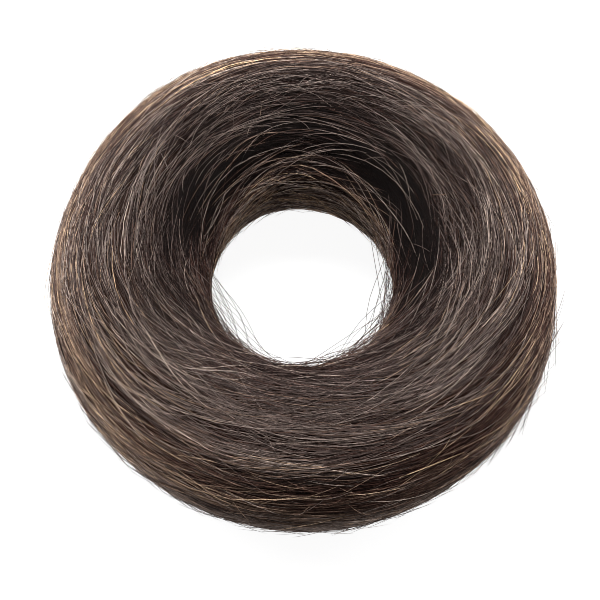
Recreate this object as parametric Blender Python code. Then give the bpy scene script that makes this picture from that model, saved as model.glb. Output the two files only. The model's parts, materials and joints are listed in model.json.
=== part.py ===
"""Top knot hairpiece: a ring of straight hair wound in three coils round an elastic band.

Units are metres and +Z is up. The ring lies on the surface at Z = 0 with its hole upright, and the
origin is on that surface under the middle of the ring. -Y is the side nearest the viewer.

Two angles place every point. The plan angle runs round the hole, from +X towards +Y. The tube angle
runs round the roll's own section: 0 points away from the hole, 90 up, 180 into the hole, 270 down.
"""

import math

import bmesh
import bpy
from mathutils import Vector

# Driving dimensions of the ring
RING_OUTER_DIAMETER = 0.130
ROLL_WIDTH = 0.0418
ROLL_HEIGHT = 0.0400
REST_FLAT_WIDTH = 0.0160

# Where the coils meet on the surface, as tube angles before the hair's own drift is added
OUTER_PARTING_DEG = 18.0
INNER_PARTING_DEG = 150.0
BAND_PARTING_DEG = 236.0
PARTING_DEPTH = 0.0020
PARTING_SPREAD_DEG = 8.0
COIL_GAP = 0.0003

# Elastic band, sunk in a channel on the underside, by the hole
BAND_WIDTH = 0.0050
BAND_THICKNESS = 0.0030
BAND_SUNK = 0.0008
BAND_CLEARANCE = 0.0003
CHANNEL_FLARE = 0.0006

# Shallow valleys between the locks of one coil
VALLEY_DEPTH = 0.0011
VALLEY_SPREAD_DEG = 7.0

# Facets
PLAN_STATIONS = 80
TOP_COIL_POINTS = 24
OUTER_COIL_POINTS = 17
INNER_COIL_POINTS = 15
BAND_POINTS = 8

# How the roll changes round the ring. The shares are of ROLL_WIDTH, ROLL_WIDTH and ROLL_HEIGHT, and
# drift turns the hair round the roll: the coils climb over the near side and slide down the outside
# of the far side.
SECTION_COLUMNS = ("plan_deg", "shift_share", "wide_share", "high_share", "drift_deg")
SECTION_ROWS = (
    (0, 0.006, 1.014, 1.00, -15.0),
    (30, 0.002, 1.026, 0.99, -18.0),
    (60, -0.004, 1.020, 0.98, -19.0),
    (90, 0.000, 1.012, 0.98, -18.0),
    (120, 0.012, 1.012, 1.00, -11.0),
    (150, 0.005, 1.006, 1.01, -4.0),
    (180, 0.008, 0.990, 1.00, 4.0),
    (210, 0.005, 0.974, 0.98, 15.0),
    (240, -0.004, 0.976, 0.99, 22.0),
    (270, 0.000, 0.992, 1.01, 25.0),
    (300, 0.005, 0.986, 1.01, 17.0),
    (330, 0.008, 1.004, 1.00, 0.0),
)

# The main valleys: the tube angle before drift, the plan angle where each is deepest, how far round
# the ring it reaches either way, and its depth as a share of VALLEY_DEPTH.
VALLEY_COLUMNS = ("tube_deg", "deepest_plan_deg", "reach_deg", "share")
VALLEY_ROWS = (
    (116, 135, 75, 1.0),
    (98, 0, 60, 0.7),
    (72, 285, 80, 0.6),
    (48, 60, 70, 0.7),
    (45, 190, 60, 0.5),
    (-22, 300, 90, 0.9),
    (-40, 120, 100, 0.8),
    (188, 60, 120, 0.8),
    (212, 250, 120, 0.7),
)

HAIR_BROWN = (0.052, 0.034, 0.028, 1.0)
HAIR_BROWN_DEEP = (0.040, 0.025, 0.020, 1.0)
BAND_BLACK = (0.012, 0.011, 0.011, 1.0)


def named_rows(columns, rows):
    """Each row of a table as a dict, with the column names as its keys."""
    return [dict(zip(columns, row)) for row in rows]


SECTIONS = named_rows(SECTION_COLUMNS, SECTION_ROWS)
VALLEYS = named_rows(VALLEY_COLUMNS, VALLEY_ROWS)


def turn_between(first_deg, second_deg):
    """The shorter turn from one angle to another, in degrees, between -180 and 180."""
    return (second_deg - first_deg + 180.0) % 360.0 - 180.0


def round_the_ring(column, plan_deg):
    """A column of the section table at any plan angle, on a smooth closed curve through its rows."""
    step = 360.0 / len(SECTIONS)
    place = (plan_deg % 360.0) / step
    row = int(place)
    t = place - row
    before, here, after, beyond = (SECTIONS[(row + k) % len(SECTIONS)][column] for k in (-1, 0, 1, 2))
    slope_here = (after - before) / 2.0
    slope_after = (beyond - here) / 2.0
    rise = after - here
    return here + t * (
        slope_here + t * (3.0 * rise - 2.0 * slope_here - slope_after + t * (slope_here + slope_after - 2.0 * rise))
    )


class Section:
    """The roll cut across at one plan angle. Its points are (distance from the ring's axis, height)."""

    def __init__(self, plan_deg):
        self.plan_deg = plan_deg
        width = ROLL_WIDTH * round_the_ring("wide_share", plan_deg)
        height = ROLL_HEIGHT * round_the_ring("high_share", plan_deg)
        shift = ROLL_WIDTH * round_the_ring("shift_share", plan_deg)
        self.half_width = width / 2.0
        # The table cuts the round section off at its foot and leaves the flat strip that it rests on.
        flat_half_angle = math.asin(REST_FLAT_WIDTH / width)
        self.half_height = height / (1.0 + math.cos(flat_half_angle))
        self.core = Vector(((RING_OUTER_DIAMETER - ROLL_WIDTH) / 2.0 + shift, height - self.half_height))
        self.drift_deg = round_the_ring("drift_deg", plan_deg)

    def outer_parting(self):
        return OUTER_PARTING_DEG + self.drift_deg

    def inner_parting(self):
        return INNER_PARTING_DEG + self.drift_deg

    def dent(self, tube_deg):
        """How far the surface lies below the plain oval: at the two partings, and in the valleys."""
        depth = 0.0
        for parting in (self.outer_parting(), self.inner_parting()):
            depth += PARTING_DEPTH * bell(turn_between(parting, tube_deg), PARTING_SPREAD_DEG)
        for valley in VALLEYS:
            off_line = turn_between(valley["tube_deg"] + self.drift_deg, tube_deg)
            off_place = turn_between(valley["deepest_plan_deg"], self.plan_deg)
            here = valley["share"] * bell(off_place, valley["reach_deg"])
            depth += VALLEY_DEPTH * here * bell(off_line, VALLEY_SPREAD_DEG)
        return depth

    def surface(self, tube_deg):
        """The point of the hair's outer surface at a tube angle."""
        tube = math.radians(tube_deg)
        arm = Vector((self.half_width * math.cos(tube), self.half_height * math.sin(tube)))
        point = self.core + arm * (1.0 - self.dent(tube_deg) / arm.length)
        point.y = max(point.y, 0.0)
        return point

    def ray(self, tube_deg):
        """Unit vectors from the core to the surface point at a tube angle, and square to it."""
        along = (self.surface(tube_deg) - self.core).normalized()
        return along, Vector((-along.y, along.x))


def bell(distance, spread):
    return math.exp(-((distance / spread) ** 2))


def lips_denser(start_deg, end_deg, count):
    """Tube angles from start to end, closer together at both ends, where the coil turns in."""
    return [
        start_deg + (end_deg - start_deg) * (0.5 - 0.5 * math.cos(math.pi * share) + share) / 2.0
        for share in (k / (count - 1) for k in range(count))
    ]


def beside_parting(section, parting_deg, side):
    """The tube angle that is half a coil gap to one side of a parting."""
    reach = (section.surface(parting_deg) - section.core).length
    return parting_deg + side * math.degrees(COIL_GAP / reach)


def core_corner(section, first_deg, last_deg):
    """The coil's corner by the core, half a gap inside both of the walls that it lies between."""
    first, first_square = section.ray(first_deg)
    last, last_square = section.ray(last_deg)
    across = math.sin(math.radians((last_deg - first_deg) / 2.0))
    middle = (first_square - last_square).normalized()
    return section.core + middle * (COIL_GAP / max(across, 0.5))


def band_place(section):
    """The middle of the elastic band's section, with the directions out of its channel and across it."""
    out, across = section.ray(BAND_PARTING_DEG)
    mouth = section.surface(BAND_PARTING_DEG)
    return mouth - out * (BAND_SUNK + BAND_THICKNESS / 2.0), out, across


def channel_wall(section, side):
    """One side of the band's channel, from its mouth in to the wall between the two coils."""
    middle, out, across = band_place(section)
    half_channel = BAND_WIDTH / 2.0 + BAND_CLEARANCE
    roof = middle - out * (BAND_THICKNESS / 2.0 + BAND_CLEARANCE)
    reach = (section.surface(BAND_PARTING_DEG) - section.core).length
    mouth_deg = BAND_PARTING_DEG + side * math.degrees(math.asin((half_channel + CHANNEL_FLARE) / reach))
    corner = roof + across * side * half_channel
    return mouth_deg, [corner, roof + across * side * COIL_GAP]


def top_coil(section):
    start = beside_parting(section, section.outer_parting(), 1)
    end = beside_parting(section, section.inner_parting(), -1)
    arc = [section.surface(a) for a in lips_denser(start, end, TOP_COIL_POINTS)]
    return arc + [core_corner(section, section.outer_parting(), section.inner_parting())]


def inner_coil(section):
    start = beside_parting(section, section.inner_parting(), 1)
    end, channel = channel_wall(section, -1)
    arc = [section.surface(a) for a in lips_denser(start, end, INNER_COIL_POINTS)]
    return arc + channel + [core_corner(section, section.inner_parting(), BAND_PARTING_DEG)]


def outer_coil(section):
    start, channel = channel_wall(section, 1)
    end = beside_parting(section, section.outer_parting() + 360.0, -1)
    arc = [section.surface(a) for a in lips_denser(start, end, OUTER_COIL_POINTS)]
    return arc + [core_corner(section, BAND_PARTING_DEG, section.outer_parting() + 360.0)] + channel[::-1]


def band(section):
    middle, out, across = band_place(section)
    turns = [2.0 * math.pi * (k + 0.5) / BAND_POINTS for k in range(BAND_POINTS)]
    corner = math.cos(math.pi / BAND_POINTS)
    return [
        middle
        + out * (BAND_THICKNESS / 2.0 * math.cos(turn) / corner)
        + across * (BAND_WIDTH / 2.0 * math.sin(turn) / corner)
        for turn in turns
    ]


def in_space(section, point):
    plan = math.radians(section.plan_deg)
    return Vector((point.x * math.cos(plan), point.x * math.sin(plan), point.y))


def loft_ring(name, outline, sections, middle, material):
    """Joins one outline per section into a closed ring of triangles.

    Each face is cut on the diagonal that runs away from the core as the plan angle grows, so the
    facing walls of two coils are cut alike and stay parallel.
    """
    flat_loops = [outline(section) for section in sections]
    shape = bmesh.new()
    loops = [
        [shape.verts.new(in_space(section, point) - middle) for point in loop]
        for section, loop in zip(sections, flat_loops)
    ]
    for here in range(len(sections)):
        after = (here + 1) % len(sections)
        core = sections[here].core
        for this in range(len(loops[here])):
            next_one = (this + 1) % len(loops[here])
            a, b = loops[here][this], loops[here][next_one]
            d, c = loops[after][this], loops[after][next_one]
            outward = (flat_loops[here][next_one] - core).length > (flat_loops[here][this] - core).length
            for corners in ((a, c, b), (a, d, c)) if outward else ((a, d, b), (b, d, c)):
                shape.faces.new(corners)
    bmesh.ops.recalc_face_normals(shape, faces=shape.faces)
    mesh = bpy.data.meshes.new(name)
    shape.to_mesh(mesh)
    shape.free()
    mesh.shade_smooth()
    mesh.set_sharp_from_angle(angle=math.radians(50.0))
    mesh.materials.append(material)
    bpy.context.scene.collection.objects.link(bpy.data.objects.new(name, mesh))


def middle_of_plan(sections):
    """The middle of the ring's bounding rectangle in plan, which becomes the origin."""
    reach = [in_space(s, s.surface(a)) for s in sections for a in range(-30, 60, 3)]
    xs = [p.x for p in reach]
    ys = [p.y for p in reach]
    return Vector(((min(xs) + max(xs)) / 2.0, (min(ys) + max(ys)) / 2.0, 0.0))


def plain_material(name, colour, roughness):
    material = bpy.data.materials.new(name)
    material.use_nodes = True
    shader = material.node_tree.nodes["Principled BSDF"]
    shader.inputs["Base Color"].default_value = colour
    shader.inputs["Roughness"].default_value = roughness
    shader.inputs["Metallic"].default_value = 0.0
    return material


def clear_scene():
    for thing in list(bpy.data.objects):
        bpy.data.objects.remove(thing)


def main():
    clear_scene()
    sections = [Section(360.0 * k / PLAN_STATIONS) for k in range(PLAN_STATIONS)]
    middle = middle_of_plan(sections)
    hair = plain_material("dark_brown_hair", HAIR_BROWN, 0.45)
    hair_deep = plain_material("dark_brown_hair_deep", HAIR_BROWN_DEEP, 0.5)
    rubber = plain_material("covered_elastic", BAND_BLACK, 0.8)
    loft_ring("top_coil", top_coil, sections, middle, hair)
    loft_ring("outer_coil", outer_coil, sections, middle, hair)
    loft_ring("inner_coil", inner_coil, sections, middle, hair_deep)
    loft_ring("elastic_band", band, sections, middle, rubber)


main()
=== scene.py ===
# %% [markdown]
# # A ring of hair for a top knot
#
# This lesson gives a plain model of a hairpiece the looks of the real thing. The hairpiece is a ring
# of straight dark brown hair, 13 cm across, that is worn round a bun to fill it out. The hair lies
# round the ring in three broad coils, and an elastic band under the ring holds them.
#
# The plain solids come first. They are measured and never moved, so that all the hair lies on them.

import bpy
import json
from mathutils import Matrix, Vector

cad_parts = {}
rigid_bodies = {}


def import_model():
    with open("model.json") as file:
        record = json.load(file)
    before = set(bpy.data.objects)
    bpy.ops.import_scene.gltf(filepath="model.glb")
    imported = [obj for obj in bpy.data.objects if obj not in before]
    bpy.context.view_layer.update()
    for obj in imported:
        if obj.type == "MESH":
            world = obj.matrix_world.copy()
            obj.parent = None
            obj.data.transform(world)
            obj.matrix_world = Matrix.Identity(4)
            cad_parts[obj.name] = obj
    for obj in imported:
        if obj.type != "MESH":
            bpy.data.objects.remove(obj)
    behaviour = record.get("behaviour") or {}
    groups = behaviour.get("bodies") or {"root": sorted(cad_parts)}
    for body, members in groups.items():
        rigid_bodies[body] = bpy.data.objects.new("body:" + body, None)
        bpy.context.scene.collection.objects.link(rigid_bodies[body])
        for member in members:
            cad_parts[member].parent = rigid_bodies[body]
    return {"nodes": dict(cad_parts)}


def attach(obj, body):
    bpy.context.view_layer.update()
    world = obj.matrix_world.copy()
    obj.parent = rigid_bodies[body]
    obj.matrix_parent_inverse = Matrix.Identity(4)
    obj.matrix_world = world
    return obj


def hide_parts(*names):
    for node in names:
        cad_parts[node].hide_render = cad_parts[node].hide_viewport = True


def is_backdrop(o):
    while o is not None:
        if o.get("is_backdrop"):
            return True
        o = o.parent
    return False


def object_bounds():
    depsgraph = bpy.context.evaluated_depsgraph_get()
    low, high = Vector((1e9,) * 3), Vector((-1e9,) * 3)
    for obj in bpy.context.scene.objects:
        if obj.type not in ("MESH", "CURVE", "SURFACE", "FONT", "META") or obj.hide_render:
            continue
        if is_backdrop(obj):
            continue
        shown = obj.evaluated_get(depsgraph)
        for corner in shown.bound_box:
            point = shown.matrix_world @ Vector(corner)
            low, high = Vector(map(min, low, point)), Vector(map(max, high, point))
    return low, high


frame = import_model()
cad_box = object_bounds()
print("solids:", sorted(frame["nodes"]))
print("box in mm:", [[round(1000 * value, 1) for value in corner] for corner in cad_box])

# %% Tools that every step uses
import json
import math

import bmesh
import bpy
import numpy as np
from mathutils import Vector
from mathutils.bvhtree import BVHTree

MM = 0.001
scene = bpy.context.scene

# %% [markdown]
# ## Camera
#
# The photograph was taken from high above and a little from the front, with a long lens. The ring's
# outline and its hole fit a camera 70 degrees above the horizon and 0.6 m away. The ring isn't quite
# in the middle of the picture, so the camera slides sideways, and its lens needs no shift.

# %% Camera
RING_CENTRE = Vector((0.0, 0.0, 19 * MM))
CAMERA_ELEVATION = math.radians(70)
CAMERA_DISTANCE = 0.60
PIXELS_PER_METRE = 3884.0  # at the ring's centre
PICTURE_SIDE = 600.0
CENTRE_RIGHT, CENTRE_UP = 2.9, 14.3  # pixels from the middle of the picture to the ring's centre

camera_data = bpy.data.cameras.new("camera")
camera_data.sensor_width = 36.0
camera_data.lens = camera_data.sensor_width * PIXELS_PER_METRE * CAMERA_DISTANCE / PICTURE_SIDE
camera_data.clip_start = 0.01
camera = bpy.data.objects.new("camera", camera_data)
scene.collection.objects.link(camera)
scene.camera = camera

forward = Vector((0, math.cos(CAMERA_ELEVATION), -math.sin(CAMERA_ELEVATION)))
right = Vector((1, 0, 0))
upward = right.cross(forward)
aim = RING_CENTRE - (right * CENTRE_RIGHT + upward * CENTRE_UP) / PIXELS_PER_METRE
camera.location = aim - forward * CAMERA_DISTANCE
camera.rotation_euler = forward.to_track_quat("-Z", "Y").to_euler()
print("lens:", round(camera_data.lens, 1), "mm")

# %% [markdown]
# ## Helpers for materials
#
# Colours are picked as sRGB hex values, as in any paint program, and a shader wants them linear. The
# second helper adds one node: a plain value sets a socket, and another node's output is linked to it.

# %% Colour and node helpers
def linear(hex_colour):
    """An sRGB hex colour as a linear colour with alpha."""
    parts = [int(hex_colour[at : at + 2], 16) / 255 for at in (1, 3, 5)]
    light = [part / 12.92 if part <= 0.04045 else ((part + 0.055) / 1.055) ** 2.4 for part in parts]
    return light + [1.0]


def add_node(tree, kind, settings=None, sockets=None):
    """Adds a node, gives it its settings, and fills or links its input sockets."""
    node = tree.nodes.new(kind)
    for name, value in (settings or {}).items():
        setattr(node, name, value)
    for name, value in (sockets or {}).items():
        if isinstance(value, bpy.types.NodeSocket):
            tree.links.new(value, node.inputs[name])
        else:
            node.inputs[name].default_value = value
    return node


def new_material(name):
    """An empty node material, with the shader that gives it its surface."""
    material = bpy.data.materials.new(name)
    material.use_nodes = True
    return material, material.node_tree, material.node_tree.nodes["Principled BSDF"]


def mix_colours(tree, factor, first, second):
    """The colour of the first ramp where the factor is 0, and of the second where it is 1."""
    mix = add_node(tree, "ShaderNodeMix", {"data_type": "RGBA"}, {"Factor": factor})
    tree.links.new(first.outputs["Color"], mix.inputs[6])  # the sockets A and B for colours
    tree.links.new(second.outputs["Color"], mix.inputs[7])
    return mix.outputs[2]


def set_ramp(ramp, stops):
    """Puts (place, colour) stops on a colour ramp."""
    elements = ramp.color_ramp.elements
    while len(elements) < len(stops):
        elements.new(1.0)
    for element, (place, colour) in zip(elements, stops):
        element.position = place
        element.color = linear(colour)


# %% [markdown]
# ## Floor and light
#
# The ring lies on a white table that is lit from inside, as tables for product pictures are, so its
# shadow stays pale and thin hairs stand out against the white. One broad soft light hangs above and
# behind it. That leaves the near foot of the ring and the far wall of the hole dark, as in the
# photograph. Two more lights stand behind it, left and right, and light its rim.

# %% Floor
floor_shape = bmesh.new()
bmesh.ops.create_grid(floor_shape, x_segments=1, y_segments=1, size=2.0)
floor_mesh = bpy.data.meshes.new("floor")
floor_shape.to_mesh(floor_mesh)
floor_shape.free()
floor = bpy.data.objects.new("floor", floor_mesh)
scene.collection.objects.link(floor)
floor_material, _, floor_shader = new_material("white_acrylic_light_table")
floor_shader.inputs["Base Color"].default_value = linear("#808080")
floor_shader.inputs["Roughness"].default_value = 0.9
floor_shader.inputs["Specular IOR Level"].default_value = 0.1
floor_shader.inputs["Emission Color"].default_value = linear("#ffffff")
floor_shader.inputs["Emission Strength"].default_value = 0.93
floor_mesh.materials.append(floor_material)
floor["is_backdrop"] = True

# %% Lights
# name, place in metres, width and depth in metres, power in watts
LIGHTS = (
    ("softbox_above", (0.0, 0.52, 0.90), (0.8, 0.5), 20.0),
    ("softbox_left", (-0.75, 0.35, 0.40), (0.4, 0.5), 7.0),
    ("softbox_right", (0.75, 0.35, 0.40), (0.4, 0.5), 5.0),
)
for name, place, size, power in LIGHTS:
    light_data = bpy.data.lights.new(name, "AREA")
    light_data.shape = "RECTANGLE"
    light_data.size, light_data.size_y = size
    light_data.energy = power
    light = bpy.data.objects.new(name, light_data)
    light.location = place
    light.rotation_euler = (RING_CENTRE - light.location).to_track_quat("-Z", "Y").to_euler()
    scene.collection.objects.link(light)

world = bpy.data.worlds.new("studio")
world.use_nodes = True
surround = world.node_tree.nodes["Background"]
surround.inputs["Color"].default_value = linear("#ffffff")
surround.inputs["Strength"].default_value = 0.25
scene.world = world
scene.view_settings.view_transform = "Standard"
scene.cycles.filter_width = 1.0  # single hairs stay as crisp as in the photograph
print("lights:", [light[0] for light in LIGHTS])

# %% [markdown]
# ## Finding one's way round the ring
#
# Hair runs round the ring, so two angles are handier than X, Y and Z. The plan angle runs round the
# hole. The tube angle runs round the roll's own section: 0 points away from the hole, 90 degrees up,
# 180 into the hole and 270 down.
#
# The hair doesn't stay at one tube angle. It climbs over the near side and slides down the outside
# of the far side. That slow turn is called drift here, and a hair's lane is its tube angle less the
# drift. A hair that keeps its lane follows the coils.

# %% Lanes
RING_RADIUS = 44.2 * MM  # from the ring's axis to the middle of the roll
ROLL_MIDDLE_HEIGHT = 19.3 * MM
ROLL_RADIUS = 20.6 * MM
DRIFT_DEG = (-15, -18, -19, -18, -11, -5, -1, 12, 23, 25, 17, 0)  # every 30 degrees of plan angle
DIVE_DEG = (0, -4, -10, -14, -16, -11, 0, 11, 12, 7, 1, 0)  # added to the drift down in the hole


def round_the_ring(plan, table):
    """Values on a smooth curve through a table that has one value for each equal step round the ring."""
    table = np.array(table, dtype=float)
    place = np.mod(plan / (2 * math.pi) * len(table), len(table))
    row = place.astype(int)
    t = place - row
    before, here, after, beyond = (table[(row + k) % len(table)] for k in (-1, 0, 1, 2))
    slope_here, slope_after = (after - before) / 2, (beyond - here) / 2
    rise = after - here
    bend = slope_here + slope_after - 2 * rise
    return here + t * (slope_here + t * (3 * rise - 2 * slope_here - slope_after + t * bend))


def drift(plan):
    """How far the hair has turned round the roll, in radians."""
    return np.radians(round_the_ring(plan, DRIFT_DEG))


def outward_at(plan, tube):
    """Unit vectors from the middle of the roll out through its surface."""
    flat = np.cos(tube)
    return np.stack([flat * np.cos(plan), flat * np.sin(plan), np.sin(tube)], axis=-1)


def roll_middle(plan):
    """Points on the circle that runs round inside the roll."""
    height = np.full_like(plan, ROLL_MIDDLE_HEIGHT)
    return np.stack([RING_RADIUS * np.cos(plan), RING_RADIUS * np.sin(plan), height], axis=-1)


def plan_and_lane(points):
    """The plan angle and lane of any points near the ring."""
    plan = np.arctan2(points[:, 1], points[:, 0])
    beyond = np.hypot(points[:, 0], points[:, 1]) - RING_RADIUS
    tube = np.arctan2(points[:, 2] - ROLL_MIDDLE_HEIGHT, beyond)
    return plan, np.mod(tube - drift(plan), 2 * math.pi)


print("drift at the front:", round(math.degrees(float(drift(np.array([1.5 * math.pi]))[0]))), "degrees")

# %% [markdown]
# ## Relief
#
# Straight hair gathers into ridges a few millimetres wide, which run on for a long way and slowly
# part and join. A sum of long waves has that look: each wave has many crests across the hair and
# few or none round the ring. The same relief is used under the loose hairs and by them.

# %% Relief
relief_random = np.random.default_rng(11)
RELIEF_WAVES = 24
crests_across = relief_random.integers(14, 46, RELIEF_WAVES)
crests_round = relief_random.integers(-4, 5, RELIEF_WAVES)
wave_start = relief_random.uniform(0, 2 * math.pi, RELIEF_WAVES)
wave_height = (crests_across / 14.0) ** -0.8


def relief(plan, lane):
    """Ridges of the hair, from about -1 to 1."""
    total = np.zeros_like(plan)
    for across, along, start, height in zip(crests_across, crests_round, wave_start, wave_height):
        total += height * np.sin(across * lane + along * plan + start)
    return total / (1.6 * math.sqrt(np.square(wave_height).sum()))


print("relief:", RELIEF_WAVES, "waves")

# %% [markdown]
# ## The body of each coil
#
# A coil holds thousands of hairs, and most never show. Modelling all of them would be far too heavy,
# so each coil gets a solid body with fine ridges, and loose hairs lie over it. The body is a copy of
# the plain solid: its triangles are joined back into quads, and a Subdivision Surface rounds it.
# Every point is then moved by the relief. Its hair pattern follows the lanes, so each point also
# stores how far it lies round and across the ring, in millimetres.

# %% Coil bodies
RELIEF_DEPTH = 0.35 * MM
COILS = {"top_coil": 84, "outer_coil": -54, "inner_coil": 193}  # the middle lane of each, in degrees


def finer_copy(node_name, levels):
    """A rounded, finer mesh of a plain solid, all in quads."""
    shape = bmesh.new()
    shape.from_mesh(frame["nodes"][node_name].data)
    bmesh.ops.remove_doubles(shape, verts=shape.verts, dist=0.01 * MM)
    bmesh.ops.join_triangles(
        shape,
        faces=shape.faces,
        angle_face_threshold=math.radians(40),
        angle_shape_threshold=math.radians(40),
    )
    coarse = bpy.data.meshes.new(node_name + "_coarse")
    shape.to_mesh(coarse)
    shape.free()
    holder = bpy.data.objects.new(node_name + "_coarse", coarse)
    scene.collection.objects.link(holder)
    rounding = holder.modifiers.new("rounding", "SUBSURF")
    rounding.levels = rounding.render_levels = levels
    fine = bpy.data.meshes.new_from_object(holder.evaluated_get(bpy.context.evaluated_depsgraph_get()))
    bpy.data.objects.remove(holder)
    bpy.data.meshes.remove(coarse)
    return fine


def points_and_normals(mesh):
    """The place of each point of a mesh, and the direction away from its surface there."""
    points, normals = np.empty((2, 3 * len(mesh.vertices)))
    mesh.vertices.foreach_get("co", points)
    mesh.vertex_normals.foreach_get("vector", normals)
    return points.reshape(-1, 3), normals.reshape(-1, 3)


bodies = {name: finer_copy(name, 1) for name in COILS}
for name, mesh in bodies.items():
    print(name, "body:", len(mesh.vertices), "points")

# %% [markdown]
# ## How far out the hair lies
#
# The loose hairs need the surface's distance from the middle of the roll in every direction. Rays
# shot inwards from outside find it, on a grid of plan angles and lanes. The coils keep a hair's
# breadth of gap, and a ray can slip in, so each distance is the largest of three neighbours. Then
# it is evened out with its neighbours round the ring.
#
# Loose hair is stretched over a parting, as a sheet is over a dip, and only sinks in a little. Where
# the middle of a stretch lies lower than its two ends, it is raised most of the way to them.

# %% Measure the surface
PLAN_STEPS, LANE_STEPS = 144, 240
OUTSIDE = 40 * MM


def measured_reach(meshes):
    """Distance from the middle of the roll to the surface, for each plan angle and lane."""
    points, faces = [], []
    for mesh in meshes:
        faces += [[len(points) + corner for corner in face.vertices] for face in mesh.polygons]
        points += [vertex.co.copy() for vertex in mesh.vertices]
    tree = BVHTree.FromPolygons(points, faces)
    plan = np.repeat(np.arange(PLAN_STEPS) * 2 * math.pi / PLAN_STEPS, LANE_STEPS)
    lane = np.tile(np.arange(LANE_STEPS) * 2 * math.pi / LANE_STEPS, PLAN_STEPS)
    outward = outward_at(plan, lane + drift(plan))
    starts = roll_middle(plan) + OUTSIDE * outward
    reach = np.empty(len(plan))
    for at, (start, way) in enumerate(zip(starts, outward)):
        # inside the hole a ray starts no further than the ring's axis
        to_the_axis = -way[0] * math.cos(plan[at]) - way[1] * math.sin(plan[at])
        room = min(OUTSIDE, 0.9 * RING_RADIUS / max(to_the_axis, 1e-6))
        hit = tree.ray_cast(Vector(start - way * (OUTSIDE - room)), Vector(-way))
        reach[at] = room - hit[3]
    reach = reach.reshape(PLAN_STEPS, LANE_STEPS)
    reach = np.maximum(reach, np.maximum(np.roll(reach, 1, axis=1), np.roll(reach, -1, axis=1)))
    return (reach + np.roll(reach, 1, axis=0) + np.roll(reach, -1, axis=0)) / 3


REACH = measured_reach(bodies.values())
for step in (2, 4, 6):  # grid steps of 1.5 degrees
    stretched = (np.roll(REACH, step, axis=1) + np.roll(REACH, -step, axis=1)) / 2
    REACH = np.maximum(REACH, 0.25 * REACH + 0.75 * stretched)


def reach_at(plan, lane):
    """The measured distance at any plan angle and lane, blended from the grid."""
    i = np.mod(plan / (2 * math.pi) * PLAN_STEPS, PLAN_STEPS)
    j = np.mod(lane / (2 * math.pi) * LANE_STEPS, LANE_STEPS)
    i0, j0 = i.astype(int), j.astype(int)
    fi, fj = i - i0, j - j0
    i0, j0 = i0 % PLAN_STEPS, j0 % LANE_STEPS
    i1, j1 = (i0 + 1) % PLAN_STEPS, (j0 + 1) % LANE_STEPS
    near = REACH[i0, j0] * (1 - fj) + REACH[i0, j1] * fj
    far = REACH[i1, j0] * (1 - fj) + REACH[i1, j1] * fj
    return near * (1 - fi) + far * fi


radius_range = (REACH.min(), REACH.mean(), REACH.max())
print("roll's radius:", [round(1000 * float(value), 1) for value in radius_range], "mm")

# %% Carve the relief into the bodies
body_pieces = {}
for name, mesh in bodies.items():
    points, normals = points_and_normals(mesh)
    plan, lane = plan_and_lane(points)
    away = np.linalg.norm(points - roll_middle(plan), axis=1)
    on_surface = np.clip((away / reach_at(plan, lane) - 0.85) / 0.1, 0, 1)  # none where two coils meet
    lift = RELIEF_DEPTH * (relief(plan, lane) - 1.2) * on_surface
    points = points + normals * lift[:, None]
    points[:, 2] = np.maximum(points[:, 2], 0.0)
    mesh.vertices.foreach_set("co", points.ravel())
    beside = np.mod(lane - math.radians(COILS[name]) + math.pi, 2 * math.pi)  # no jump inside a coil
    flow = [np.cos(plan) * RING_RADIUS, np.sin(plan) * RING_RADIUS, beside * ROLL_RADIUS]
    flow = np.stack(flow, axis=1) / MM
    mesh.attributes.new("hair_flow", "FLOAT_VECTOR", "POINT").data.foreach_set("vector", flow.ravel())
    mesh.shade_smooth()
    mesh.update()
    piece = bpy.data.objects.new(name + "_body", mesh)
    scene.collection.objects.link(piece)
    body_pieces[name] = piece
    print(piece.name, "relief from", round(1000 * lift.min(), 2), "to", round(1000 * lift.max(), 2), "mm")

# %% [markdown]
# ## Loose hairs
#
# Each loose hair is a long thin tube with three sides and tapered ends. There are nearly 20,000 of
# them, which would take minutes if they were made one by one. So whole arrays of them are worked out
# together and written as one mesh.
#
# The tube's bake map has the hair's length along U and its tone along V. Cool brown hairs use the
# left half of the map and warm brown ones the right half. The material reads nothing else, so every
# hair of one tone may share the same strip of the map.

# %% Tubes from paths
TUBE_POINTS = 8
TONE_STRIP = 0.008  # of the map's height
MAP_MARGIN = 0.01  # kept free at each side of a half, and each cap is as wide


def unit(vectors):
    """The same directions, all one long."""
    return vectors / np.maximum(np.linalg.norm(vectors, axis=-1, keepdims=True), 1e-12)


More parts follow.
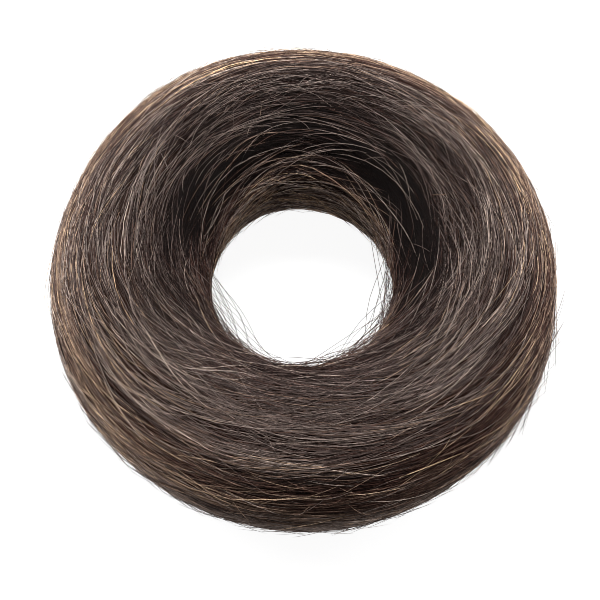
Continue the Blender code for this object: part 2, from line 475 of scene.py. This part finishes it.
def hair_mesh(name, paths, outward, radii, tones, warm):
    """One mesh of three-sided closed tubes. Paths are hairs x points x 3, and each point has a tone."""
    hairs, count = paths.shape[:2]
    along = unit(np.gradient(paths, axis=1))
    across = unit(np.cross(along, outward))
    up = np.cross(across, along)
    turns = np.radians([90, 210, 330])
    rings = paths[:, :, None] + radii[:, :, None, None] * (
        np.cos(turns)[:, None] * across[:, :, None] + np.sin(turns)[:, None] * up[:, :, None]
    )
    first = 3 * (np.arange(hairs)[:, None, None] * count + np.arange(count - 1)[None, :, None])
    side, next_side = np.arange(3), np.roll(np.arange(3), -1)
    quads = np.stack([first + side, first + next_side, first + 3 + next_side, first + 3 + side], axis=-1)
    ends = 3 * count * np.arange(hairs)[:, None]
    caps = np.stack([ends + [2, 1, 0], ends + 3 * (count - 1) + [0, 1, 2]], axis=1)
    corners = np.concatenate([quads.ravel(), caps.ravel()])
    quad_count, cap_count = quads.size // 4, caps.size // 3
    starts = np.concatenate([4 * np.arange(quad_count), 4 * quad_count + 3 * np.arange(cap_count)])

    u = np.arange(count - 1)[None, :, None, None] + np.array([0, 0, 1, 1])
    v = (side[:, None] + np.array([0, 1, 1, 0])) / 3 * TONE_STRIP
    strip = np.clip(tones, MAP_MARGIN, 1 - MAP_MARGIN) * (1 - 2 * TONE_STRIP)
    here, after = strip[:, :-1, None], strip[:, 1:, None]
    half = MAP_MARGIN + warm[:, None, None]
    inside = 1 - 2 * MAP_MARGIN
    quad_u = (inside * np.broadcast_to(u / (count - 1), quads.shape) + half[..., None]) / 2
    quad_v = v + np.stack([here, here, after, after], axis=-1)
    cap_ends = np.array([[0.0, 0.0, MAP_MARGIN], [1 - MAP_MARGIN, 1 - MAP_MARGIN, 1.0]])
    cap_u = (inside * np.broadcast_to(cap_ends, caps.shape) + half) / 2
    cap_v = strip[:, [0, -1], None] + np.array([0.0, TONE_STRIP, 0.0])
    both = ((quad_u, cap_u), (quad_v, cap_v))
    uv = np.stack([np.concatenate([quad.ravel(), cap.ravel()]) for quad, cap in both], axis=1)

    mesh = bpy.data.meshes.new(name)
    mesh.vertices.add(rings.size // 3)
    mesh.vertices.foreach_set("co", rings.ravel())
    mesh.loops.add(len(corners))
    mesh.loops.foreach_set("vertex_index", corners.astype(np.int32))
    mesh.polygons.add(len(starts))
    mesh.polygons.foreach_set("loop_start", starts.astype(np.int32))
    mesh.update(calc_edges=True)
    mesh.uv_layers.new(name="OFBake").data.foreach_set("uv", uv.ravel())
    mesh.shade_smooth()
    return mesh


def tapered(radius, count=TUBE_POINTS):
    """Radii along hairs, full in the middle and fine at both ends."""
    t = np.linspace(-1, 1, count)
    return radius[:, None] * np.maximum(1 - np.abs(t) ** 5, 0.15)


# %% [markdown]
# ## Locks
#
# Hair isn't laid hair by hair. It hangs together in flat locks some 5 mm wide, and each lock slides
# a little over its neighbours. That gives the long bands and fine crossings of the photograph.
#
# A lock is a twisted bundle: its hairs keep their places in a flat oval that slowly turns as it runs
# along. Both ends of each hair dip under the surface, so no end shows. About a quarter of the hairs
# are light and somewhat thicker. They are the single bright lines of the photograph.
#
# Where a hair lies changes its tone too, by painted light and shade. Thin hair by the outer rim, the
# crown, hair low on the near side and the lowest hair of the hole's far wall get painted light. The
# upper wall of the hole gets painted shade, and so do the far side of the crown, a groove beside it
# and the outside at the near right. Ridges are painted a little lighter than the hollows between them.

# %% Lay hairs on the roll
LOOSE_RELIEF = 0.08 * MM
LOOSE_SUNK = 0.25 * MM  # the middle of the loose hair lies this far under the measured surface


def smooth_step(values):
    """A soft rise from 0 to 1, flat below and above."""
    values = np.clip(values, 0, 1)
    return values * values * (3 - 2 * values)


def close_to(angle, middle_deg, first, last):
    """0 where the cosine of the angle to the middle is under the first value, and 1 over the last."""
    return smooth_step((np.cos(angle - math.radians(middle_deg)) - first) / (last - first))


def lay_on_roll(plan, lane, lift, radii):
    """Points over the hair's surface, none lower than the table, and the direction away from the roll."""
    tube = lane + drift(plan)
    in_the_hole = close_to(tube, 165, 0.35, 0.90)
    lane = lane + in_the_hole * np.radians(round_the_ring(plan, DIVE_DEG))
    tube = lane + drift(plan)
    outward = outward_at(plan, tube)
    over = reach_at(plan, lane) + LOOSE_RELIEF * relief(plan, lane) - LOOSE_SUNK + lift
    points = roll_middle(plan) + over[..., None] * outward
    points[..., 2] = np.maximum(points[..., 2], radii)
    return points, outward


# %% Painted light and shade by place
# Painted light and shade. Each is a tone, and the tube angle at its middle and its half width, both in
# radians.
RIM_LIGHT = (0.06, 0.40, 0.35)  # painted light on thin hair by the outer rim
FOOT_LIGHT = (0.21, 0.00, 0.45)  # painted light low on the near side
# painted light on the crown
CROWN_LIGHT = (0.04, 1.20, 0.70)
FAR_CROWN_SHADE = (0.29, 1.70, 0.60)  # painted shade on the far side of the crown
RIGHT_SHADE = (0.11, 0.65, 0.50)  # painted shade on the outside at the near right
WALL_LIGHT, WALL_SHADE = 0.32, 0.21  # painted light low on the hole's wall, painted shade on all of it
# The upper wall of the hole gets more painted shade, which changes every 30 degrees of plan angle.
HOLE_SHADE = (0.60, 0.70, 0.52, 0.22, 0.46, 0.54, 0.0, 0.12, 0.22, 0.24, 0.17, 0.24)
HOLE_SHADE_PLACE = (1.0, 2.46, 0.34)
GROOVE_SHADE = (0.10, math.radians(18), math.radians(4.5))  # painted shade in a groove by the crown, by lane


def bump(values, height, middle, half_width):
    """A bell curve."""
    return height * np.exp(-np.square((values - middle) / half_width))


def tube_of(plan, lane):
    """The tube angle, from -90 to 270 degrees."""
    return np.mod(lane + drift(plan) + math.pi / 2, 2 * math.pi) - math.pi / 2


def painted_light_and_shade(plan, lane):
    """Painted light by the rim and low down, and painted shade in the hole and behind the crown."""
    tube = tube_of(plan, lane)
    back = 0.5 + 0.5 * np.sin(plan)  # 1 at the back of the ring and 0 at the front
    light = bump(tube, *RIM_LIGHT) * (0.3 + 0.7 * back) + bump(tube, *FOOT_LIGHT) * (1 - back)
    light += WALL_LIGHT * smooth_step((tube - 2.7) / 0.4) * np.square(back)
    light += bump(tube, *CROWN_LIGHT)
    shade = WALL_SHADE * smooth_step((tube - 1.4) / 0.9) * (0.10 + 0.90 * smooth_step(back / 0.6))
    shade += round_the_ring(plan, HOLE_SHADE) * bump(tube, *HOLE_SHADE_PLACE)
    shade += bump(tube, *FAR_CROWN_SHADE) * back**3
    lane = np.mod(lane + math.pi, 2 * math.pi) - math.pi
    shade += bump(lane, *GROOVE_SHADE) * close_to(plan, 300, 0.45, 0.85)
    shade += bump(tube, *RIGHT_SHADE) * close_to(plan, 318, 0.5, 0.9)
    return light - shade + 0.015 + 0.03 * relief(plan, lane)


PAINTED_BACKLIGHT_AT_RIM = (0.75, 0.50, 0.42)  # painted backlight: share of the hairs, tube angle and half width


def is_warm_or_backlit(random, plan, lane):
    """Whether each hair is warm: a few at random, more as painted backlight by the rim and low in the
    hole.
    """
    tube = tube_of(plan, lane).mean(axis=1)
    share = 0.12 + bump(tube, *PAINTED_BACKLIGHT_AT_RIM) + 0.35 * smooth_step((tube - 2.2) / 0.6)
    return random.uniform(0, 1, len(tube)) < share


print("darkest wall of the hole:", max(HOLE_SHADE), "tone lost")

# %% Hairs of a coil
HAIR_LENGTH = (34 * MM, 74 * MM)
HAIR_RADIUS = (0.042 * MM, 0.078 * MM)
LOCK_HALF_WIDTH = (1.6 * MM, 3.6 * MM)
LOCK_HALF_THICK = 0.40 * MM
END_DIP = 0.9 * MM
DEPTH_SHADE = 0.20  # painted shade: tone lost from the top of the loose hair to the bottom
LIGHT_SHARE, LIGHT_THICKER = 0.27, 1.4  # the light hairs among the others
LIGHT_TONE, DARK_TONE = 0.21, -0.12
ASTRAY_SHARE = 0.15  # hairs that lie further across the others
UNDER_FIRST, UNDER_LAST = math.radians(-116), math.radians(228)  # no hair covers the elastic band


def locks_of_coil(random, first_deg, last_deg, row_spacing, round_spacing):
    """Plan angle and lane of each lock's middle, in even rows across the coil."""
    first, last = math.radians(first_deg), math.radians(last_deg)
    rows = max(2, round((last - first) * ROLL_RADIUS / row_spacing))
    middles = []
    for row in range(rows):
        lane = first + (last - first) * (row + 0.5) / rows
        round_ring = 2 * math.pi * (RING_RADIUS + ROLL_RADIUS * math.cos(lane))
        count = max(3, round(round_ring / round_spacing))
        start = random.uniform(0, 2 * math.pi)
        for k in range(count):
            plan = start + 2 * math.pi * (k + random.uniform(-0.3, 0.3)) / count
            middles.append((plan, lane + random.normal(0, 0.5) * (last - first) / rows))
    return np.array(middles)


def hairs_of_coil(random, middles, hairs_per_lock, tone):
    """Paths, outward directions, radii, tones and kinds of all the loose hairs in the locks."""
    locks = len(middles)
    lock_slope = random.normal(0, 0.12, locks)
    lock_bow = random.normal(0, 0.05, locks)
    lock_half = random.uniform(*LOCK_HALF_WIDTH, locks) / ROLL_RADIUS
    lock_lift = random.uniform(-0.10 * MM, 0.18 * MM, locks)
    lock_turn = random.normal(0, 1.1, locks)
    lock_tone = random.normal(0, 0.02, locks)
    lock_length = random.uniform(*HAIR_LENGTH, locks)

    lock = np.repeat(np.arange(locks), hairs_per_lock)
    hairs = len(lock)
    t = np.linspace(-1, 1, TUBE_POINTS)
    distance = np.sqrt(random.uniform(0, 1, hairs))
    turn = random.uniform(0, 2 * math.pi, hairs)[:, None] + lock_turn[lock][:, None] * t
    side = distance[:, None] * np.cos(turn)
    layer = distance[:, None] * np.sin(turn)

    length = lock_length[lock] * random.uniform(0.75, 1.1, hairs)
    tube = middles[lock, 1] + drift(middles[lock, 0])
    from_axis = RING_RADIUS + ROLL_RADIUS * np.cos(tube)
    half_turn = np.minimum(length / 2 / from_axis, 0.8)
    plan_shift = random.normal(0, 0.35, hairs) * half_turn
    turned = plan_shift[:, None] + half_turn[:, None] * t
    plan = middles[lock, 0][:, None] + turned
    lane = middles[lock, 1][:, None] + lock_slope[lock][:, None] * turned
    lane = lane + lock_bow[lock][:, None] * turned**2
    lane = lane + lock_half[lock][:, None] * (1 - 0.3 * np.square(t)) * side
    # hair down in the hole is the untidiest
    untidy = 1 + 0.9 * close_to(tube, 140, 0.3, 0.9)
    slope = random.normal(0, 0.15, hairs)
    slope = slope * np.where(random.uniform(0, 1, hairs) < ASTRAY_SHARE, 2.2, 1.0) * untidy
    bow = random.normal(0, 0.05, hairs) * untidy
    lane = lane + slope[:, None] * turned + bow[:, None] * (turned - plan_shift[:, None]) ** 2
    margin = random.uniform(0.0, 0.12, hairs)[:, None]
    lane = np.clip(lane, UNDER_FIRST + margin, UNDER_LAST - margin)

    lift = lock_lift[lock][:, None] + LOCK_HALF_THICK * layer
    lift = lift - END_DIP * smooth_step((np.abs(t) - 0.55) / 0.45)
    is_light = random.uniform(0, 1, hairs) < LIGHT_SHARE
    radii = tapered(random.uniform(*HAIR_RADIUS, hairs) * np.where(is_light, LIGHT_THICKER, 1.0))
    paths, outward = lay_on_roll(plan, lane, lift, radii)
    # hair at the rim and on the near side is lit from behind, and has contrast enough
    calm = 0.65 * close_to(middles[lock, 0], 270, 0.6, 1.0) + bump(tube, 0.35, 0.45, 0.5)
    light_or_dark = random.normal(0, 0.11, hairs) + np.where(is_light, LIGHT_TONE, DARK_TONE)
    hair_tone = tone + lock_tone[lock] + (1 - np.minimum(calm, 0.7)) * light_or_dark
    # painted shade by depth in the loose hair, and painted light and shade by place
    depth = np.clip(0.5 - lift / (2.2 * LOCK_HALF_THICK), 0, 1)
    tones = hair_tone[:, None] + painted_light_and_shade(plan, lane) - DEPTH_SHADE * depth
    return paths, outward, radii, tones, is_warm_or_backlit(random, plan, lane)


# %% Lay the hairs on the three coils
# name, random seed, lanes from and to in degrees, row spacing, spacing round the ring, hairs a lock, tone
HAIR_LAYERS = (
    ("top_coil_hair_outside", 21, 13, 64, 2.6 * MM, 34 * MM, 50, 0.575),
    ("top_coil_hair_over_the_crown", 26, 64, 107, 2.3 * MM, 34 * MM, 50, 0.575),
    ("top_coil_hair_by_the_hole", 22, 107, 153, 2.3 * MM, 28 * MM, 50, 0.575),
    ("outer_coil_hair", 23, -52, 19, 2.9 * MM, 41 * MM, 50, 0.575),
    ("outer_coil_hair_below", 24, -116, -50, 4.0 * MM, 52 * MM, 60, 0.53),
    ("inner_coil_hair", 25, 148, 228, 2.6 * MM, 27 * MM, 50, 0.575),
)


def count_triangles(piece):
    """How many triangles a piece has."""
    piece.data.calc_loop_triangles()
    return len(piece.data.loop_triangles)


def add_hair_piece(name, made):
    """Makes one piece of hair and counts its triangles."""
    piece = bpy.data.objects.new(name, hair_mesh(name, *made))
    scene.collection.objects.link(piece)
    print(name, len(made[0]), "hairs,", count_triangles(piece), "triangles")
    return piece


hair_pieces = {}
for name, seed, first_deg, last_deg, row_spacing, round_spacing, hairs_per_lock, tone in HAIR_LAYERS:
    random = np.random.default_rng(seed)
    middles = locks_of_coil(random, first_deg, last_deg, row_spacing, round_spacing)
    hair_pieces[name] = add_hair_piece(name, hairs_of_coil(random, middles, hairs_per_lock, tone))

# %% [markdown]
# ## Strays
#
# A hairpiece of real hair is never quite tidy. Long single hairs cross the others, most of all at the
# back of the hole. Some span the hole's edge like the string of a bow, some stand off the rim, and a
# few short ends lie nearly across the rest.
#
# All of these are one kind of thing: a hair with a place, a heading and three heights, at its root, in
# its middle and at its tip. A height under zero tucks that end in.

# %% Single hairs
STRAY_POINTS = 10


def single_hairs(random, plan, lane, heading_deg, length, heights, bow, radius, tone):
    """Hairs laid one by one. All values but the last two hold one number for each hair."""
    t = np.linspace(-1, 1, STRAY_POINTS)
    heading = np.radians(heading_deg)
    from_axis = RING_RADIUS + ROLL_RADIUS * np.cos(lane + drift(plan))
    run = length[:, None] / 2 * t
    plans = plan[:, None] + (np.cos(heading) / from_axis)[:, None] * run
    lanes = lane[:, None] + (np.sin(heading) / ROLL_RADIUS)[:, None] * run + bow[:, None] * np.square(t)
    lanes = np.clip(lanes, UNDER_FIRST, UNDER_LAST)
    root, middle, tip = (height[:, None] for height in heights)
    lift = LOOSE_SUNK + middle + (tip - root) / 2 * t + ((root + tip) / 2 - middle) * np.square(t)
    radii = tapered(random.uniform(*radius, len(plan)), STRAY_POINTS)
    paths, outward = lay_on_roll(plans, lanes, lift, radii)
    tones = random.uniform(*tone, len(plan))[:, None] + np.zeros(STRAY_POINTS)
    return paths, outward, radii, tones, is_warm_or_backlit(random, plans, lanes)


def angles_between(random, first_deg, last_deg, count):
    """Random angles in radians."""
    return np.radians(random.uniform(first_deg, last_deg, count))


def joined(*parts):
    """Several sets of single hairs as one."""
    return [np.concatenate(arrays) for arrays in zip(*parts)]


# %% Crossing hairs
random = np.random.default_rng(31)


def crossing(count, plans, lanes, heading_sd, length, height, tone):
    """Hairs that lie a little across the others, with both ends tucked in."""
    up_or_down = random.normal(0, heading_sd, count)
    tucked = np.full(count, -0.8 * MM)
    middle = random.uniform(*height, count)
    bow = random.normal(0, 0.10, count)
    return single_hairs(
        random, angles_between(random, *plans, count), angles_between(random, *lanes, count), up_or_down,
        random.uniform(*length, count), (tucked, middle, tucked), bow, (0.040 * MM, 0.070 * MM), tone,
    )


hair_pieces["crossing_hairs"] = add_hair_piece("crossing_hairs", joined(
    crossing(180, (35, 160), (75, 185), 15, (16 * MM, 44 * MM), (0.3 * MM, 1.1 * MM), (0.50, 0.82)),
    crossing(110, (165, 375), (100, 200), 14, (14 * MM, 36 * MM), (0.2 * MM, 0.7 * MM), (0.50, 0.80)),
    crossing(200, (0, 360), (0, 110), 10, (20 * MM, 50 * MM), (0.1 * MM, 0.4 * MM), (0.65, 0.92)),
    crossing(30, (215, 335), (10, 60), 24, (10 * MM, 24 * MM), (0.1 * MM, 0.5 * MM), (0.50, 0.78)),
))

# %% Strays in the hole and at the rim
random = np.random.default_rng(32)


HOLE_EDGE_RADIUS = 23 * MM  # a straight hair of length L stands L * L / (8 * radius) off the edge


def over_the_hole(count, plans, lanes, straight):
    """Hairs that span the hole's edge like a bow's string. A straight one stands off it the furthest."""
    tucked = random.uniform(-1.2 * MM, -0.6 * MM, count)
    length = random.uniform(18 * MM, 38 * MM, count)
    middle = random.uniform(*straight, count) * np.square(length) / (8 * HOLE_EDGE_RADIUS)
    return single_hairs(
        random, angles_between(random, *plans, count), angles_between(random, *lanes, count),
        random.normal(0, 16, count), length, (tucked, middle, tucked), random.normal(0, 0.08, count),
        (0.055 * MM, 0.090 * MM), (0.25, 0.62),
    )


def off_the_rim(count, plans, lanes, length, height, tone=(0.55, 0.95)):
    """Hairs with a tucked root and a free tip."""
    backwards = np.where(random.uniform(0, 1, count) < 0.5, 180.0, 0.0)
    root = np.full(count, -0.9 * MM)
    tip = random.uniform(*height, count)
    return single_hairs(
        random, angles_between(random, *plans, count), angles_between(random, *lanes, count),
        backwards + random.normal(0, 9, count), random.uniform(*length, count),
        (root, 0.15 * tip, tip), random.normal(0, 0.05, count), (0.045 * MM, 0.075 * MM), tone,
    )


hair_pieces["stray_hairs_in_the_hole"] = add_hair_piece("stray_hairs_in_the_hole", joined(
    over_the_hole(50, (195, 250), (130, 165), (0.2, 0.95)),
    over_the_hole(46, (285, 338), (128, 172), (0.15, 0.85)),
    over_the_hole(30, (335, 380), (160, 200), (0.15, 0.8)),
    over_the_hole(70, (225, 320), (118, 155), (0.05, 0.35)),
    off_the_rim(40, (180, 360), (110, 160), (10 * MM, 20 * MM), (0.8 * MM, 3.0 * MM)),
    off_the_rim(200, (20, 160), (178, 222), (8 * MM, 20 * MM), (0.3 * MM, 1.6 * MM)),
))
hair_pieces["stray_hairs_at_the_rim"] = add_hair_piece("stray_hairs_at_the_rim", joined(
    off_the_rim(200, (0, 360), (-20, 55), (14 * MM, 34 * MM), (0.4 * MM, 2.2 * MM)),
    off_the_rim(240, (0, 200), (-5, 60), (10 * MM, 24 * MM), (0.2 * MM, 1.2 * MM)),
    off_the_rim(70, (318, 356), (-25, 30), (12 * MM, 26 * MM), (0.8 * MM, 3.4 * MM), (0.35, 0.75)),
    off_the_rim(16, (220, 238), (-20, 30), (12 * MM, 24 * MM), (0.8 * MM, 3.0 * MM), (0.35, 0.75)),
    off_the_rim(220, (205, 335), (-60, 0), (10 * MM, 26 * MM), (0.3 * MM, 1.7 * MM), (0.35, 0.80)),
))

# %% Short ends
random = np.random.default_rng(33)


def short_ends(count, plans, lanes):
    """Short cut ends that lie nearly across the other hair."""
    return single_hairs(
        random, angles_between(random, *plans, count), angles_between(random, *lanes, count),
        random.uniform(20, 75, count) * np.where(random.uniform(0, 1, count) < 0.5, -1, 1),
        random.uniform(4 * MM, 10 * MM, count),
        (np.full(count, -0.4 * MM), np.full(count, 0.4 * MM), random.uniform(0.4 * MM, 1.4 * MM, count)),
        random.normal(0, 0.04, count), (0.05 * MM, 0.08 * MM), (0.55, 0.85),
    )


hair_pieces["short_hair_ends"] = add_hair_piece("short_hair_ends", joined(
    short_ends(8, (235, 315), (-5, 40)),
    short_ends(16, (20, 160), (90, 150)),
    short_ends(20, (0, 360), (-40, 160)),
))

# %% [markdown]
# ## Hair material
#
# The hair is real human hair: a fibre of keratin, see-through at its edge, with a scaly skin that
# gives a soft gloss, here dyed dark brown. Its index of refraction is 1.55. One hair is only 0.07 mm
# thick, too fine for the picture, so a tube stands for one to three hairs side by side, and the
# thickest is 0.22 mm wide.
#
# Dyed hair isn't all one colour. Most of it is a cool brown, and the light end of its tones is nearly
# grey: partly the hair's own colour and partly a painted sheen. Thin hair by the rim lets light through
# and looks warm, like brass, so the warm tones there and low in the hole are painted light. Both kinds
# run from the nearly black brown of hair deep in painted shade to the tone of a hair in full light.
# Along its length a hair changes, in patches 2 to 5 mm long, with painted glints and shade where it
# turns towards the light and away. Light hairs are glossy, and the dark ones under them are dull.

# %% Hair material
# the light end of the cool tones is nearly grey, partly a painted sheen
COOL_TONES = (
    (0.00, "#0a0504"),
    (0.30, "#1c110e"),
    (0.50, "#40332f"),
    (0.65, "#655751"),
    (0.78, "#887a72"),
    (0.90, "#a8968a"),
    (1.00, "#c8b7a8"),
)
WARM_TONES = (
    (0.00, "#0a0503"),
    (0.30, "#26140f"),
    (0.50, "#432d26"),
    (0.65, "#645044"),
    (0.78, "#8b7463"),
    (0.90, "#b0967b"),
    (1.00, "#d2b18b"),
)


def map_range(tree, value, given, wanted):
    """Turns one range of values into another, with one node."""
    limits = dict(zip(("From Min", "From Max", "To Min", "To Max"), (*given, *wanted)))
    return add_node(tree, "ShaderNodeMapRange", sockets={"Value": value, **limits}).outputs["Result"]


def hair_material(name, cool, warm):
    """Hair whose colour follows the tube's tone strip, with painted glints and shade along it."""
    material, tree, shader = new_material(name)
    strips = add_node(tree, "ShaderNodeUVMap", {"uv_map": "OFBake"})
    parts = add_node(tree, "ShaderNodeSeparateXYZ", sockets={"Vector": strips.outputs["UV"]})
    sockets = {0: parts.outputs["X"], 1: 0.5}
    is_right = add_node(tree, "ShaderNodeMath", {"operation": "GREATER_THAN"}, sockets)
    ramps = [add_node(tree, "ShaderNodeValToRGB", sockets={"Fac": parts.outputs["Y"]}) for _ in range(2)]
    for ramp, tones in zip(ramps, (cool, warm)):
        set_ramp(ramp, tones)
    brown = mix_colours(tree, is_right.outputs[0], ramps[0], ramps[1])
    patches = add_node(
        tree,
        "ShaderNodeMapping",
        sockets={"Vector": strips.outputs["UV"], "Scale": (32.0, 90.0, 1.0)},  # 16 patches a hair
    )
    noise = add_node(
        tree,
        "ShaderNodeTexNoise",
        {"noise_dimensions": "2D"},
        {"Vector": patches.outputs["Vector"], "Scale": 1.0},
    )
    # painted glints and shade: patches along each hair, lighter and darker
    painted_glints = map_range(tree, noise.outputs["Fac"], (0.3, 0.7), (0.4, 1.9))
    tinted = add_node(
        tree,
        "ShaderNodeVectorMath",
        {"operation": "MULTIPLY"},
        {0: brown, 1: painted_glints},
    )
    tree.links.new(tinted.outputs["Vector"], shader.inputs["Base Color"])
    roughness = map_range(tree, parts.outputs["Y"], (0.2, 0.8), (0.85, 0.26))
    tree.links.new(roughness, shader.inputs["Roughness"])
    shader.inputs["IOR"].default_value = 1.55
    shader.inputs["Specular IOR Level"].default_value = 0.13
    return material


hair = hair_material("human_hair_dyed_dark_brown", COOL_TONES, WARM_TONES)
for piece in hair_pieces.values():
    piece.data.materials.append(hair)
print(hair.name, "on", len(hair_pieces), "pieces")

# %% [markdown]
# ## Material of the coil bodies
#
# Between the loose hairs the body shows as more hair, lying deep in the coil. Its dark colours are
# painted shade. Its streaks are drawn 0.3 mm wide and about 30 mm long, a little coarser than real
# hairs, which would be too fine to show. The bump repeats the streaks, so that the body catches the
# light as the hairs do.

# %% Body material
STREAK_LENGTH, STREAK_WIDTH = 30.0, 0.3  # mm


def body_material(name, dark, middle, pale):
    """Streaked hair that follows the lanes stored on the mesh."""
    material, tree, shader = new_material(name)
    flow = add_node(tree, "ShaderNodeAttribute", {"attribute_name": "hair_flow"})
    stretched = add_node(
        tree,
        "ShaderNodeMapping",
        sockets={
            "Vector": flow.outputs["Vector"],
            "Scale": (1 / STREAK_LENGTH, 1 / STREAK_LENGTH, 1 / STREAK_WIDTH),
        },
    )
    streaks = add_node(
        tree,
        "ShaderNodeTexNoise",
        sockets={"Vector": stretched.outputs["Vector"], "Scale": 1.0, "Detail": 4.0},
    )
    ramp = add_node(tree, "ShaderNodeValToRGB", sockets={"Fac": streaks.outputs["Fac"]})
    set_ramp(ramp, ((0.35, dark), (0.52, middle), (0.70, pale)))
    raised = add_node(
        tree,
        "ShaderNodeBump",
        sockets={"Height": streaks.outputs["Fac"], "Distance": 0.3 * MM, "Strength": 0.8},
    )
    tree.links.new(ramp.outputs["Color"], shader.inputs["Base Color"])
    tree.links.new(raised.outputs["Normal"], shader.inputs["Normal"])
    shader.inputs["Roughness"].default_value = 0.7
    shader.inputs["IOR"].default_value = 1.55
    shader.inputs["Specular IOR Level"].default_value = 0.04
    return material


# dark colours: painted shade for hair deep in the coil
streaked = body_material("packed_hair_painted_shade", "#0d0604", "#20140f", "#46352c")
for piece in body_pieces.values():
    piece.data.materials.append(streaked)
print(streaked.name, "on", len(body_pieces), "pieces")

# %% [markdown]
# ## Elastic band
#
# The ring of hair is sewn to an elastic band that lies in a channel underneath, by the hole. It is
# woven elastic: rubber cores with a cover of braided black polyester thread. Its plain solid has
# eight flat sides, so a copy of it is subdivided twice into a smooth oval.
#
# The hair is held on it by turns of dark thread, 1.6 mm wide and some 13 mm apart. There the cover is
# raised a little. The braid itself is far too fine for faces, so it comes from the material, which
# reads how far a point lies round the ring and round the band.

# %% Band
SEWN_PLACES = 15
SEWING_RISE = 0.22 * MM
SEWING_WIDTH = 1.6 * MM

band_mesh = finer_copy("elastic_band", 2)
band_points, band_normals = points_and_normals(band_mesh)
band_plan = np.arctan2(band_points[:, 1], band_points[:, 0])
band_from_axis = np.hypot(band_points[:, 0], band_points[:, 1])
from_place = np.mod(band_plan / (2 * math.pi) * SEWN_PLACES + 0.5, 1) - 0.5
from_place = np.abs(from_place) * 2 * math.pi * band_from_axis.mean() / SEWN_PLACES
sewn = 1 - smooth_step((from_place - SEWING_WIDTH / 2) / (0.5 * MM))
band_points += band_normals * (SEWING_RISE * sewn)[:, None]
band_points[:, 2] = np.maximum(band_points[:, 2], 0.1 * MM)
band_mesh.vertices.foreach_set("co", band_points.ravel())
print("band:", len(band_points), "points, sewn at", SEWN_PLACES, "places")

# %% How a point lies round the band
BAND_PARTS = 36  # the middle of the band is measured in each
bounds = np.linspace(-math.pi, math.pi, BAND_PARTS + 1)
which = np.clip(np.digitize(band_plan, bounds) - 1, 0, BAND_PARTS - 1)
middle_plan = (bounds[:-1] + bounds[1:]) / 2
middle_out = np.array([band_from_axis[which == k].mean() for k in range(BAND_PARTS)])
middle_up = np.array([band_points[which == k, 2].mean() for k in range(BAND_PARTS)])
band_turn = np.arctan2(
    band_points[:, 2] - np.interp(band_plan, middle_plan, middle_up, period=2 * math.pi),
    band_from_axis - np.interp(band_plan, middle_plan, middle_out, period=2 * math.pi),
)
band_flow = np.stack([band_plan * band_from_axis.mean() / MM, band_turn, sewn], axis=1)
stored_flow = band_mesh.attributes.new("band_flow", "FLOAT_VECTOR", "POINT")
stored_flow.data.foreach_set("vector", band_flow.ravel())
band_mesh.shade_smooth()
band_mesh.update()
band = bpy.data.objects.new("elastic_band_cover", band_mesh)
scene.collection.objects.link(band)
print("band cover:", count_triangles(band), "triangles")

# %% [markdown]
# ## Material of the band
#
# Two sets of threads run round the band in opposite screws and cross. The product of two sine waves
# gives their lozenges. A thread is 0.3 mm in real life and is drawn 0.8 mm wide, so that it shows. At
# the sewn places the thread runs straight round the band instead, in fine dark brown turns.

# %% Band material
BRAID_PITCH = 1.6  # mm along the band from one thread to the next
THREADS_ROUND = 5
SEWING_PITCH = 0.4  # mm along the band from one turn of sewing thread to the next


def wave(tree, along, round_band, along_scale, round_scale):
    """A sine wave over the band, from -1 to 1."""
    a = add_node(tree, "ShaderNodeMath", {"operation": "MULTIPLY"}, {0: along, 1: along_scale})
    sockets = {0: round_band, 1: round_scale, 2: a.outputs[0]}
    b = add_node(tree, "ShaderNodeMath", {"operation": "MULTIPLY_ADD"}, sockets)
    return add_node(tree, "ShaderNodeMath", {"operation": "SINE"}, {0: b.outputs[0]}).outputs[0]


cover, tree, shader = new_material("braided_polyester_over_rubber")
flow = add_node(tree, "ShaderNodeAttribute", {"attribute_name": "band_flow"})
parts = add_node(tree, "ShaderNodeSeparateXYZ", sockets={"Vector": flow.outputs["Vector"]})
along, round_band, is_sewn = parts.outputs["X"], parts.outputs["Y"], parts.outputs["Z"]
turns_per_mm = 2 * math.pi / BRAID_PITCH
left_screw = wave(tree, along, round_band, turns_per_mm, THREADS_ROUND)
right_screw = wave(tree, along, round_band, turns_per_mm, -THREADS_ROUND)
braid = add_node(tree, "ShaderNodeMath", {"operation": "MULTIPLY"}, {0: left_screw, 1: right_screw})
thread = wave(tree, along, round_band, 2 * math.pi / SEWING_PITCH, 1.0)
height = add_node(tree, "ShaderNodeMix", None, {"Factor": is_sewn, "A": braid.outputs[0], "B": thread})
black = add_node(tree, "ShaderNodeValToRGB", sockets={"Fac": braid.outputs[0]})
set_ramp(black, ((0.0, "#0e0e0f"), (0.8, "#2a292b")))
brown = add_node(tree, "ShaderNodeValToRGB", sockets={"Fac": thread})
set_ramp(brown, ((0.0, "#1a100c"), (1.0, "#3c2b23")))
raised = add_node(
    tree, "ShaderNodeBump", sockets={"Height": height.outputs[0], "Distance": 0.15 * MM, "Strength": 0.8}
)
tree.links.new(mix_colours(tree, is_sewn, black, brown), shader.inputs["Base Color"])
tree.links.new(raised.outputs["Normal"], shader.inputs["Normal"])
shader.inputs["Roughness"].default_value = 0.7
shader.inputs["Sheen Weight"].default_value = 0.15
band_mesh.materials.append(cover)
print(cover.name, "on", band.name)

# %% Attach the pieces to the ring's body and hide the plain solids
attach(band, "root")
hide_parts("elastic_band")
for name, piece in body_pieces.items():
    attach(piece, "root")
    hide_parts(name)
for name, piece in hair_pieces.items():
    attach(piece, "root")

everything = [*body_pieces.values(), *hair_pieces.values(), band]
print("triangles in all:", sum(count_triangles(piece) for piece in everything))

# %% Sizes before and after
visual_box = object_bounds()
grown = [[round(1000 * (a - b), 1) for a, b in zip(*corners)] for corners in zip(visual_box, cad_box)]
print("grew by mm:", grown)
